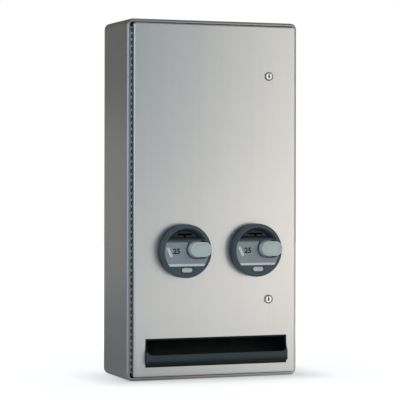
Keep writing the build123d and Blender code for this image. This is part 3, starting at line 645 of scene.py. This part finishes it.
@dataclass(frozen=True)
class HingeSteel(Finish):
    """Hinge strip whose knuckles carry a dark line of painted shade, which stops short of both ends of
    each knuckle so that the joints show light.

    Each knuckle's ends lie at whole multiples of the pitch along Z. The knuckles lie in front of
    barrel_span, and along X the painted shade sets in over painted_shade_starts and ends over
    painted_shade_stops. Towards a knuckle's end it fades between bright_half and fade_share of it.
    """

    roughness: float = 0.45
    metallic: float = 0.85
    shades: Span = (0.8, 1.1)
    cloud_scale: float = 60.0
    cloud_contrast: float = 1.6
    grain_scales: Point = (1500.0, 1500.0, 60.0)
    grain_depth: float = 0.00001
    grain_strength: float = 0.3
    rounding: float = 0.0002
    painted_shade_colour: Colour = (0.012, 0.012, 0.012)
    pitch: float = 0.0127
    bright_half: float = 0.0026
    fade_share: float = 0.6
    barrel_span: Span = (-0.1495, -0.1493)
    painted_shade_starts: Span = (-0.1766, -0.1762)
    painted_shade_stops: Span = (-0.1741, -0.1737)

    def paint(self, surface: Surface, clouds: Socket) -> None:
        """Set the colour with its painted shade."""
        sheet = surface.sheet
        parts = sheet.parts()
        along = sheet.math("DIVIDE", parts["Z"], self.pitch)
        from_end = sheet.math("ABSOLUTE", sheet.math("SUBTRACT", along, sheet.math("ROUND", along)))
        share = self.bright_half / self.pitch
        between = sheet.ramp(from_end, (share * self.fade_share, share))
        ahead = sheet.ramp(parts["Y"], self.barrel_span, to=(1.0, 0.0))
        starts = sheet.ramp(parts["X"], self.painted_shade_starts)
        stops = sheet.ramp(parts["X"], self.painted_shade_stops, to=(1.0, 0.0))
        # Painted shade along the knuckles, left off near each knuckle's ends
        dark = sheet.product(between, ahead, starts, stops)
        surface.set(Base_Color=sheet.mix(dark, self.mottled(surface, clouds), self.painted_shade_colour))


@dataclass(frozen=True)
class PlugFace(Finish):
    """Bright lock plug whose key slot is painted black as shade over the depths of slot_span."""

    roughness: float = 0.37
    sheen_level: float = 0.1
    shades: Span = (0.85, 1.0)
    cloud_scale: float = 300.0
    cloud_contrast: float = 1.5
    grain_scales: Point = (900.0, 900.0, 2600.0)
    grain_detail: float = 5.0
    grain_depth: float = 0.00001
    rounding: float = 0.0002
    slot_shade_colour: Colour = (0.004, 0.004, 0.004)
    slot_span: Span = (-0.1617, -0.1611)

    def paint(self, surface: Surface, clouds: Socket) -> None:
        """Set the colour, and paint the slot's inside plain black as shade."""
        sheet = surface.sheet
        # Painted shade: the key slot's inside is black and not metal
        inside = sheet.ramp(sheet.parts()["Y"], self.slot_span)
        surface.set(
            Base_Color=sheet.mix(inside, self.mottled(surface, clouds), self.slot_shade_colour),
            Metallic=sheet.math("SUBTRACT", 1.0, inside),
        )


@dataclass(frozen=True)
class CastIron(Finish):
    """Rough dark casting with a sandy skin."""

    roughness: float = 0.62
    roughness_swing: float = 0.0
    metallic: float = 0.6
    shades: Span = (0.7, 1.2)
    cloud_scale: float = 40.0
    grain_scales: Point = (900.0, 900.0, 900.0)
    grain_detail: float = 6.0
    grain_depth: float = 0.0003
    grain_strength: float = 0.5
    rounding: float = 0.0006
    wear_radius: float = 0.0015
    wear_amount: float = 1.2
    wear_breakup: float = 300.0
    worn_colour: Colour = (0.35, 0.34, 0.33)


@dataclass(frozen=True)
class Film(Finish):
    """Printed plastic film with a soft sheen and faint mottling."""

    roughness: float = 0.4
    roughness_swing: float = 0.05
    metallic: float = 0.0
    shades: Span = (0.93, 1.05)
    cloud_scale: float = 120.0
    cloud_contrast: float = 1.2
    grain_scales: Point = (2500.0, 2500.0, 2500.0)
    grain_detail: float = 2.0
    grain_strength: float = 0.3
    rounding: float = 0.0002

    def paint(self, surface: Surface, clouds: Socket) -> None:
        """Set the colour, which has no worn edges."""
        surface.set(Base_Color=self.mottled(surface, clouds))


BRUSHED_ALONG_Z: Point = (2600.0, 2600.0, 40.0)

FINISHES = (
    SatinSteel("door_steel", (0.67, 0.65, 0.618)),
    # The cabinet's stainless is the door's made darker, a painted shade on its side walls and rim
    SatinSteel("cabinet_steel_shaded", (0.45, 0.43, 0.405), roughness=0.38),
    # Painted shade: the dial's scoop and the walls behind its face darken
    Moulding(
        "dial_plastic",
        (0.062, 0.083, 0.098),
        roughness=0.42,
        sheen_level=0.32,
        painted_shade_depths=(-0.1795, -0.17),
        painted_shade_share=0.3,
    ),
    # Painted shade: near-black inside the tray, and darker down the lip's foot
    Moulding(
        "tray_plastic",
        (0.042, 0.058, 0.066),
        roughness=0.36,
        sheen_level=0.22,
        painted_shade_depths=(-0.1672, -0.1655),
        painted_shade_heights=(-0.3245, -0.3165),
        painted_shade_share=0.08,
    ),
    Moulding("case_plastic", (0.05, 0.05, 0.055), roughness=0.5),
    # The coin duct is near-black, a painted shade inside the coin slot
    Moulding("duct_shade_black", (0.003, 0.003, 0.003), roughness=0.7, sheen_level=0.1),
    Moulding(
        "knob_plastic",
        (0.54, 0.6, 0.59),
        roughness=0.38,
        grain_depth=0.00002,
        worn_shade=1.15,
        dust_amount=0.05,
    ),
    # The chute is near-black, a painted shade inside the cabinet seen through the slot
    Moulding("chute_shade_black", (0.005, 0.005, 0.005), roughness=0.6, worn_shade=4.0),
    Finish("zinc_sheet", (0.5, 0.51, 0.52), roughness=0.42, grain_scales=BRUSHED_ALONG_Z),
    Finish("screw_steel", (0.6, 0.6, 0.58), roughness=0.32),
    Finish("spring_steel", (0.5, 0.5, 0.5), roughness=0.28),
    Finish("lock_ring", (0.19, 0.18, 0.165), roughness=0.3, grain_depth=0.000006),
    PlugFace("lock_plug", (0.95, 0.94, 0.92)),
    HingeSteel("hinge_steel", (0.48, 0.47, 0.45)),
    CastIron("weight_iron", (0.07, 0.07, 0.072)),
    Film("label_grey", (0.272, 0.305, 0.33)),
    Film("print_white", (0.7, 0.72, 0.73)),
    Film("print_black", (0.008, 0.009, 0.012)),
)


# The machine

# Angles in degrees: faces that turn less are one flat, and edges that turn more are rounded
FLAT_ANGLE = 0.4
EDGE_ANGLE = 40.0
EDGE_SEGMENTS = 2

SIDES = ("left", "right")
LEVELS = ("upper", "lower")


class Kit:
    """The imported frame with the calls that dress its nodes."""

    def __init__(self, frame: dict, effects: Effects) -> None:
        """Keep the frame's nodes, bodies and slots, and build each material once."""
        self.nodes: dict[str, Piece] = frame["nodes"]
        self.bodies: dict[str, list[str]] = frame["record"]["behaviour"]["bodies"]
        self.slots: dict[str, str] = {
            entry["node"]: entry["material_slot"] for entry in frame["record"]["subparts"]
        }
        self.materials = {finish.name: finish.material(effects) for finish in FINISHES}

    def body_of(self, node: str) -> str:
        """Name the body that a node rides on."""
        return next(body for body, members in self.bodies.items() if node in members)

    def seat(self, piece: Piece, body: str, finish: str) -> None:
        """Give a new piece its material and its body."""
        piece.data.materials.clear()
        piece.data.materials.append(self.materials[finish])
        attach(piece, body)
        LOG.info("%s rides on %s, with %s", piece.name, body, finish)

    def stand_in(self, piece: Piece, node: str, finish: str) -> None:
        """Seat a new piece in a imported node's place and hide the node."""
        self.seat(piece, self.body_of(node), finish)
        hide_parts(node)

    def smooth(self, node: str, finish: str, edge: float = 0.0) -> None:
        """Stand a merged copy in for a node, with narrow rounded edges if asked.

        Args:
            node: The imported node's name.
            finish: The name of the copy's finish.
            edge: The width of the rounding, or 0 for none.
        """
        piece = merged_object(f"{node}.surface", packed_triangles(self.nodes[node]))
        if edge > 0.0:
            self.round_edges(piece, edge)
        even_shading(piece)
        self.stand_in(piece, node, finish)

    def round_edges(self, piece: Piece, width: float) -> None:
        """Join flat triangles into whole faces and add a bevel to the sharp edges."""
        work = bmesh.new()
        work.from_mesh(piece.data)
        flat = math.radians(FLAT_ANGLE)
        bmesh.ops.dissolve_limit(work, angle_limit=flat, verts=work.verts, edges=work.edges)
        work.to_mesh(piece.data)
        work.free()
        bevel = piece.modifiers.new("soft_edges", "BEVEL")
        bevel.width = width
        bevel.segments = EDGE_SEGMENTS
        bevel.limit_method = "ANGLE"
        bevel.angle_limit = math.radians(EDGE_ANGLE)


@dataclass
class Cabinet:
    """The fixed shell, its hinge leaf, rails, strikes, columns and chute, and the gates and weights."""

    edge: float = 0.0003
    seam_gap: float = 0.0003

    def shell(self, kit: Kit) -> None:
        """Stand one surface in for the four walls, with the seams between them closed."""
        walls = ("cabinet_side_left", "cabinet_side_right", "cabinet_top", "cabinet_bottom")
        seams = (float(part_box("cabinet_top")[0][Axis.Z]), float(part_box("cabinet_bottom")[1][Axis.Z]))
        triangles = np.concatenate([packed_triangles(kit.nodes[wall]) for wall in walls])
        piece = merged_object("cabinet_shell", seams_closed(triangles, seams, self.seam_gap))
        even_shading(piece)
        kit.seat(piece, "cabinet", "cabinet_steel_shaded")
        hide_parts(*walls)

    def build(self, kit: Kit) -> None:
        """Dress the nodes inside and on the cabinet."""
        self.shell(kit)
        kit.smooth("back_panel", "cabinet_steel_shaded")
        kit.smooth("hinge_leaf_cabinet", "hinge_steel")
        kit.smooth("hinge_pin", "hinge_steel")
        kit.smooth("delivery_chute", "chute_shade_black", self.edge)
        kit.smooth("cabinet_screws", "screw_steel")
        for level in LEVELS:
            kit.smooth(f"strike_{level}", "zinc_sheet", self.edge)
            kit.smooth(f"mounting_rail_{level}", "zinc_sheet")
        for side in SIDES:
            kit.smooth(f"magazine_{side}", "zinc_sheet")
            kit.smooth(f"gate_pin_{side}", "screw_steel", self.edge)
            kit.smooth(f"vend_gate_{side}", "zinc_sheet")
            kit.smooth(f"follower_weight_{side}", "weight_iron")


@dataclass
class Door:
    """The door's pan, hinge leaf, locks, tray and what hangs behind it."""

    edge: float = 0.0003

    def build(self, kit: Kit) -> None:
        """Dress the door's nodes."""
        kit.smooth("door_panel", "door_steel")
        kit.smooth("hinge_leaf_door", "hinge_steel")
        kit.smooth("dispensing_tray", "tray_plastic")
        for fasteners in ("tray_nuts", "lock_nuts", "mechanism_screws"):
            kit.smooth(fasteners, "screw_steel")
        for level in LEVELS:
            kit.smooth(f"lock_body_{level}", "lock_ring")
            kit.smooth(f"lock_plug_{level}", "lock_plug")
            kit.smooth(f"lock_cam_{level}", "zinc_sheet", self.edge)
        for side in SIDES:
            kit.smooth(f"mechanism_case_{side}", "case_plastic")
            kit.smooth(f"coin_duct_{side}", "duct_shade_black")
            kit.smooth(f"coin_box_{side}", "case_plastic", self.edge)
            kit.smooth(f"coin_box_cradle_{side}", "zinc_sheet")


@dataclass(frozen=True)
class Spring:
    """Coil spring in a node's room: its windings, and the joint whose travel shortens the real spring, if
    any. It is wound at full length.
    """

    kind: str
    turns: float
    wire: float
    axis: Axis
    joint: str = ""
    travel: float = 0.0

    def wind(self, kit: Kit, side: str) -> None:
        """Wind the spring in the room that its solid keeps for it."""
        node = f"{self.kind}_{side}"
        low, high = (np.array(corner, dtype=float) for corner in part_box(node))
        start = (low + high) / 2
        end = start.copy()
        start[self.axis] = low[self.axis]
        end[self.axis] = high[self.axis]
        radius = float(high[Axis.Z] - low[Axis.Z]) / 2 - self.wire
        piece = coil(f"{node}.coil", tuple(start), tuple(end), radius, self.wire, self.turns)
        kit.stand_in(piece, node, "spring_steel")
        if self.joint:
            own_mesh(piece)


SPRINGS = (
    Spring("knob_spring", turns=13.0, wire=0.00055, axis=Axis.Y, joint="vend_push", travel=0.018),
    Spring("return_spring", turns=4.0, wire=0.0004, axis=Axis.Y, joint="return_push", travel=0.004),
    Spring("gate_spring", turns=8.0, wire=0.0005, axis=Axis.X),
)


@dataclass
class CoinDial:
    """One round coin mechanism: housing, label with its print, knob, button and springs.

    The print's places are measured from the label's middle, which lies at the height centre_z.
    """

    side: str
    centre_z: float = -0.1022
    label_radius: float = 0.0466
    strip_low: float = -0.0298
    strip_high: float = -0.0252
    strip_steps: int = 9
    print_thickness: float = 0.00012
    figure: str = "25"
    figure_left: float = -0.0298
    figure_height: float = 0.0114
    figure_low: float = -0.0053
    figure_width_share: float = 1.05
    figure_weight: float = 0.045
    mark_high: Point = (-0.0398, 0.0, 0.0055)
    mark_low: Point = (-0.0332, 0.0, -0.0088)
    mark_half_width: float = 0.0027
    mark_steps: int = 12

    def build(self, kit: Kit) -> None:
        """Dress the dial's nodes and add its print and springs."""
        side = self.side
        kit.smooth(f"dial_housing_{side}", "dial_plastic")
        kit.smooth(f"face_label_{side}", "label_grey")
        kit.smooth(f"vend_knob_{side}", "knob_plastic")
        kit.smooth(f"return_button_{side}", "knob_plastic")
        housing_low, housing_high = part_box(f"dial_housing_{side}")
        label_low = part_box(f"face_label_{side}")[0]
        centre_x = float(housing_low[0] + housing_high[0]) / 2
        face = np.array([centre_x, float(label_low[1]), self.centre_z])
        self.add_strip(kit, face)
        self.add_mark(kit, face)
        self.add_figure(kit, face)
        for spring in SPRINGS:
            spring.wind(kit, side)

    def add_plate(self, kit: Kit, name: str, outline: np.ndarray) -> None:
        """Add a thin white plate of print from an outline that faces the front.

        The outline is carried forward by the print's thickness, and each end gets a flat cap.

        Args:
            kit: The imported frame.
            name: The plate's name without the side.
            outline: An (n, 3) array of points on the label's face.
        """
        forward = np.array([0.0, -self.print_thickness, 0.0])
        piece = carried_outline(f"{name}_{self.side}", np.stack([outline, outline + forward]))
        kit.seat(piece, "door", "print_white")

    def add_strip(self, kit: Kit, face: np.ndarray) -> None:
        """Add the pale strip along the label's foot.

        Its top and foot are level, and each end follows the label's circle: at height z, x is the square
        root of the radius squared less z squared.
        """
        heights = np.linspace(self.strip_low, self.strip_high, self.strip_steps)
        reach = np.sqrt(self.label_radius**2 - heights**2)
        right = np.stack([reach, np.zeros_like(reach), heights], axis=1)
        left = (right * (-1.0, 1.0, 1.0))[::-1]
        self.add_plate(kit, "label_strip", face + np.concatenate([right, left]))

    def add_mark(self, kit: Kit, face: np.ndarray) -> None:
        """Add a plain pale bar with round ends at the label's left.

        Each half circle is centred on one end of the bar's middle line.
        """
        high = np.array(self.mark_high)
        low = np.array(self.mark_low)
        along = (high - low) / np.linalg.norm(high - low)
        across = np.array([along[2], 0.0, -along[0]])
        turn = np.linspace(0.0, np.pi, self.mark_steps)
        bow = np.cos(turn)[:, None] * across + np.sin(turn)[:, None] * along
        top = high + self.mark_half_width * bow
        foot = low - self.mark_half_width * bow
        self.add_plate(kit, "label_mark", face + np.concatenate([top, foot]))

    def add_figure(self, kit: Kit, face: np.ndarray) -> None:
        """Add the plain number on the label.

        The lettering's own x goes to +X, its y to +Z and its depth towards the front, scaled so that its
        height is the figure's height and its depth the print's thickness.
        """
        letters = bpy.data.curves.new("figure", "FONT")
        letters.body = self.figure
        letters.extrude = 0.02
        letters.offset = self.figure_weight
        letters.resolution_u = 6
        carrier = new_object("figure", letters)
        bpy.context.view_layer.update()
        mesh = bpy.data.meshes.new_from_object(carrier)
        bpy.data.objects.remove(carrier)
        flat = np.empty(len(mesh.vertices) * 3)
        mesh.vertices.foreach_get("co", flat)
        flat = flat.reshape(-1, 3)
        flat -= flat.min(axis=0)
        across, tall, deep = flat.T
        scale = self.figure_height / tall.max()
        placed = np.stack(
            [
                self.figure_left + across * scale * self.figure_width_share,
                -deep * self.print_thickness / deep.max(),
                self.figure_low + tall * scale,
            ],
            axis=1,
        )
        mesh.vertices.foreach_set("co", (face + placed).ravel())
        mesh.update()
        piece = new_object(f"label_number_{self.side}", mesh)
        kit.seat(piece, "door", "print_black")


# Floor, light and camera

WHITE: Colour = (1.0, 1.0, 1.0)
WARM: Colour = (1.0, 0.91, 0.8)
COOL: Colour = (0.62, 0.83, 1.0)


@dataclass(frozen=True)
class Floor:
    """White floor that keeps the machine's shadow, and has a painted contact shadow round its foot.

    To the camera its glow grows from painted_shadow_glow at the machine's foot, a painted contact shadow,
    to edge_glow at shadow_reach, and to full white at white_reach. Its colour goes from front_colour to
    rear_colour over rear_span along Y.
    Metal sees it glow in front of the machine, more to the right, over mirror_span along X.
    """

    half_width: float = 6.0
    points_each_way: int = 13
    height: float = -0.3602
    foot_half_width: float = 0.183
    foot_half_depth: float = 0.074
    shadow_reach: float = 0.085
    white_reach: float = 0.7
    front_colour: Colour = (0.75, 0.745, 0.74)
    rear_colour: Colour = (0.48, 0.48, 0.48)
    rear_span: Span = (-0.3, 0.15)
    painted_shadow_glow: float = 0.16
    edge_glow: float = 0.58
    rear_glow: float = 0.78
    mirror_span: Span = (-0.25, 0.2)
    mirror_glow: float = 0.5
    roughness: float = 0.9

    def build(self, effects: Effects) -> None:
        """Lay the floor as a level grid of points."""
        steps = np.linspace(-self.half_width, self.half_width, self.points_each_way)
        across, deep = np.meshgrid(steps, steps, indexing="xy")
        points = np.stack([across, deep, np.full_like(across, self.height)], axis=-1).reshape(-1, 3)
        faces = grid_faces(len(steps), len(steps), wrap=False).tolist()
        piece = mesh_object("floor", points, faces)
        piece.data.materials.append(self.material(effects))

    def material(self, effects: Effects) -> Material:
        """Build the floor's material, which adds its glow to a plain dull surface."""
        surface = Surface("floor_white", effects)
        sheet = surface.sheet
        parts = sheet.parts()
        behind = sheet.ramp(parts["Y"], self.rear_span)
        surface.set(
            Base_Color=sheet.mix(behind, self.front_colour, self.rear_colour),
            Roughness=self.roughness,
            Specular_IOR_Level=0.0,
        )
        path = sheet.add("ShaderNodeLightPath")
        shown = sheet.product(sheet.seen_by_camera(path), self.shown_glow(sheet, behind))
        in_front = sheet.math("SUBTRACT", 1.0, behind)
        to_right = sheet.ramp(parts["X"], self.mirror_span, to=(0.0, self.mirror_glow))
        mirrored = sheet.product(path.outputs["Is Glossy Ray"], in_front, to_right)
        glow = sheet.add("ShaderNodeEmission", WHITE, sheet.math("ADD", shown, mirrored))
        total = sheet.add("ShaderNodeAddShader", surface.shader, glow)
        out = surface.material.node_tree.nodes["Material Output"]
        sheet.feed(out.inputs["Surface"], total)
        return surface.material

    def shown_glow(self, sheet: Sheet, behind: Socket) -> Socket:
        """Add the nodes of the glow that the camera sees.

        Args:
            sheet: The floor material's sheet.
            behind: The mask that grows towards the machine's rear.

        Returns:
            The glow's strength.
        """
        reach = self.reach_from_foot(sheet)
        far = sheet.ramp(reach, (self.shadow_reach, self.white_reach), to=(self.edge_glow, 1.0))
        far = sheet.product(far, sheet.math("GREATER_THAN", reach, self.shadow_reach))
        # The low glow near the foot paints a contact shadow on the floor
        foot = sheet.ramp(reach, (0.0, self.shadow_reach), to=(self.painted_shadow_glow, self.edge_glow))
        near = sheet.ramp(behind, FULL, to=(foot, self.rear_glow))
        return sheet.math("MAXIMUM", far, near)

    def reach_from_foot(self, sheet: Sheet) -> Socket:
        """Add the nodes that give a floor point's distance from the machine's foot.

        The distance is the length of (|x| - half width, |y + half depth| - half depth), each part at
        least 0.

        Args:
            sheet: The floor material's sheet.

        Returns:
            The distance in metres.
        """
        place = sheet.add("ShaderNodeTexCoord").outputs["Object"]
        level = sheet.vector("MULTIPLY", place, (1.0, 1.0, 0.0))
        centred = sheet.vector("ADD", level, (0.0, self.foot_half_depth, 0.0))
        corner = (self.foot_half_width, self.foot_half_depth, 0.0)
        beyond = sheet.vector("SUBTRACT", sheet.vector("ABSOLUTE", centred), corner)
        outside = sheet.vector("MAXIMUM", beyond, (0.0, 0.0, 0.0))
        return sheet.vector("LENGTH", outside).outputs["Value"]


@dataclass(frozen=True)
class Room:
    """Room that is white to the camera, softly lit, and duller where metal reflects it.

    What metal reflects goes from front_colour to rear_colour over rear_span along Y, and up to
    ceiling_share of the way to ceiling_colour over ceiling_span along Z.
    """

    front_colour: Colour = (0.19, 0.28, 0.37)
    rear_colour: Colour = (0.24, 0.23, 0.22)
    rear_span: Span = (-0.6, 0.9)
    ceiling_colour: Colour = (0.08, 0.07, 0.05)
    ceiling_span: Span = (0.02, 0.6)
    ceiling_share: float = 0.6
    soft_colour: Colour = (0.87, 0.94, 1.0)
    soft_strength: float = 0.5

    def build(self) -> None:
        """Make the world."""
        world = bpy.data.worlds.new("studio")
        world.use_nodes = True
        bpy.context.scene.world = world
        world.node_tree.nodes.clear()
        sheet = Sheet(world.node_tree)
        parts = sheet.parts("Generated")
        behind = sheet.ramp(parts["Y"], self.rear_span)
        above = sheet.ramp(parts["Z"], self.ceiling_span, to=(0.0, self.ceiling_share))
        walls = sheet.mix(behind, self.front_colour, self.rear_colour)
        room = sheet.mix(above, walls, self.ceiling_colour)
        reflected = sheet.add("ShaderNodeBackground", room, 1.0)
        soft = sheet.add("ShaderNodeBackground", self.soft_colour, self.soft_strength)
        white = sheet.add("ShaderNodeBackground", WHITE, 1.0)
        path = sheet.add("ShaderNodeLightPath")
        indirect = sheet.add("ShaderNodeMixShader", path.outputs["Is Glossy Ray"], soft, reflected)
        shown = sheet.add("ShaderNodeMixShader", sheet.seen_by_camera(path), indirect, white)
        sheet.add("ShaderNodeOutputWorld", shown)


@dataclass(frozen=True)
class Lamp:
    """Soft rectangular lamp that hangs at a place and looks at a target."""

    name: str
    place: Point
    target: Point
    width: float
    height: float
    watts: float
    colour: Colour

    def hang(self) -> None:
        """Add the lamp to the scene."""
        data = bpy.data.lights.new(self.name, "AREA")
        data.shape = "RECTANGLE"
        data.size = self.width
        data.size_y = self.height
        data.energy = self.watts
        data.color = self.colour
        lamp = new_object(self.name, data)
        turn = (Vector(self.place) - Vector(self.target)).to_track_quat("Z", "Y")
        lamp.matrix_world = Matrix.Translation(self.place) @ turn.to_matrix().to_4x4()


# The rear light lies where the left side wall mirrors it, and lights that wall alone
LAMPS = (
    Lamp("front_panel", (1.05, -1.51, -0.22), (-0.05, -0.29, -0.1), 0.9, 2.5, watts=9.1, colour=WARM),
    Lamp("fill_light", (-1.9, -2.4, 0.6), (0.0, -0.1, 0.0), 1.6, 1.6, watts=9.5, colour=COOL),
    Lamp("left_light", (-2.3, -0.95, 0.0), (-0.1, -0.16, -0.1), 2.4, 2.2, watts=15.0, colour=COOL),
    Lamp("top_light", (0.1, -0.6, 1.9), (0.0, -0.1, 0.0), 1.4, 1.4, watts=2.0, colour=(1.0, 0.96, 0.9)),
    Lamp("rear_light", (-0.85, 1.9, -0.12), (-0.18, -0.07, -0.08), 1.2, 0.7, watts=0.65, colour=WHITE),
)


@dataclass(frozen=True)
class Camera:
    """Camera at the photograph's place. Its angles are in radians and its sensor is in millimetres."""

    place: Point = (-1.2999, -3.5052, 0.0571)
    yaw: float = -0.362
    roll: float = 0.002
    focal_pixels: float = 1785.5
    frame_pixels: float = 400.0
    horizon_pixel: float = 171.1
    sensor_width: float = 36.0
    far_limit: float = 50.0

    def stand(self) -> None:
        """Add the camera to the scene and make it the scene's own."""
        data = bpy.data.cameras.new("camera")
        data.sensor_width = self.sensor_width
        data.lens = self.focal_pixels * self.sensor_width / self.frame_pixels
        data.shift_y = (self.horizon_pixel - self.frame_pixels / 2) / self.frame_pixels
        data.clip_end = self.far_limit
        camera = new_object("camera", data)
        camera.matrix_world = (
            Matrix.Translation(self.place)
            @ Matrix.Rotation(self.yaw, 4, "Z")
            @ Matrix.Rotation(math.pi / 2, 4, "X")
            @ Matrix.Rotation(self.roll, 4, "Z")
        )
        bpy.context.scene.camera = camera


def main() -> None:
    """Load the frame, dress it, and set the studio."""
    logging.basicConfig(level=logging.INFO, format="%(name)s: %(message)s")
    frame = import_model()
    bpy.context.scene.view_settings.view_transform = "Standard"
    effects = Effects()
    kit = Kit(frame, effects)
    Cabinet().build(kit)
    Door().build(kit)
    for side in SIDES:
        CoinDial(side).build(kit)
    Floor().build(effects)
    Room().build()
    for lamp in LAMPS:
        lamp.hang()
    Camera().stand()


if __name__ == "__main__":
    main()
